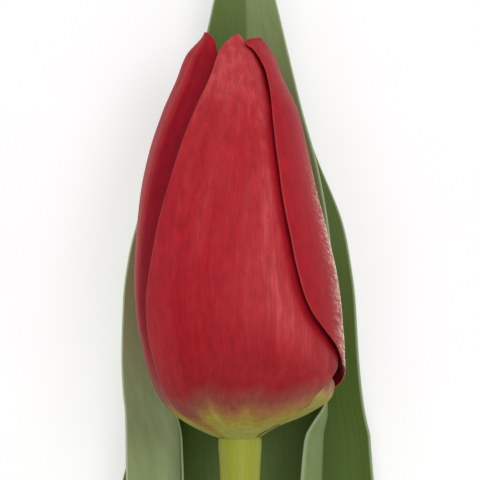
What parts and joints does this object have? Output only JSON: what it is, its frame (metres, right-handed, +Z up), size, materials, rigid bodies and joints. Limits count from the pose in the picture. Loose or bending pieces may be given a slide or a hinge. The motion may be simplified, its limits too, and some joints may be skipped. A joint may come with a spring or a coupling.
{
  "type": "cut tulip",
  "caption": "Cut tulip lying on its leaves: a closed egg-shaped bud of lapping tepals on a round stem, with long channelled leaves that clasp it and reach past the bud.",
  "frame": {"origin": "on the floor, under the centre of the flower's box", "axes": "+Y along the lying flower, from the cut end to the bud's tip; +Z up, the side of the bud that the picture shows; +X to the bud's right as the picture shows it"},
  "size_m": [0.0604, 0.356, 0.0352],
  "materials": {
    "tepal_red": "satin",
    "leaf_green": "satin",
    "stem_green": "satin",
    "pistil_yellow": "matte",
    "stamen_dark": "matte"
  },
  "bodies": {
    "root": {"stem": "stem_green", "tall_leaf": "leaf_green", "right_leaf": "leaf_green", "left_leaf": "leaf_green", "low_leaf": "leaf_green", "front_tepal": "tepal_red", "right_tepal": "tepal_red", "left_tepal": "tepal_red", "inner_right_tepal": "tepal_red", "inner_left_tepal": "tepal_red", "inner_back_tepal": "tepal_red", "pistil": "pistil_yellow", "stamen_1": "stamen_dark", "stamen_2": "stamen_dark", "stamen_3": "stamen_dark", "stamen_4": "stamen_dark", "stamen_5": "stamen_dark", "stamen_6": "stamen_dark"}
  },
  "joints": []
}
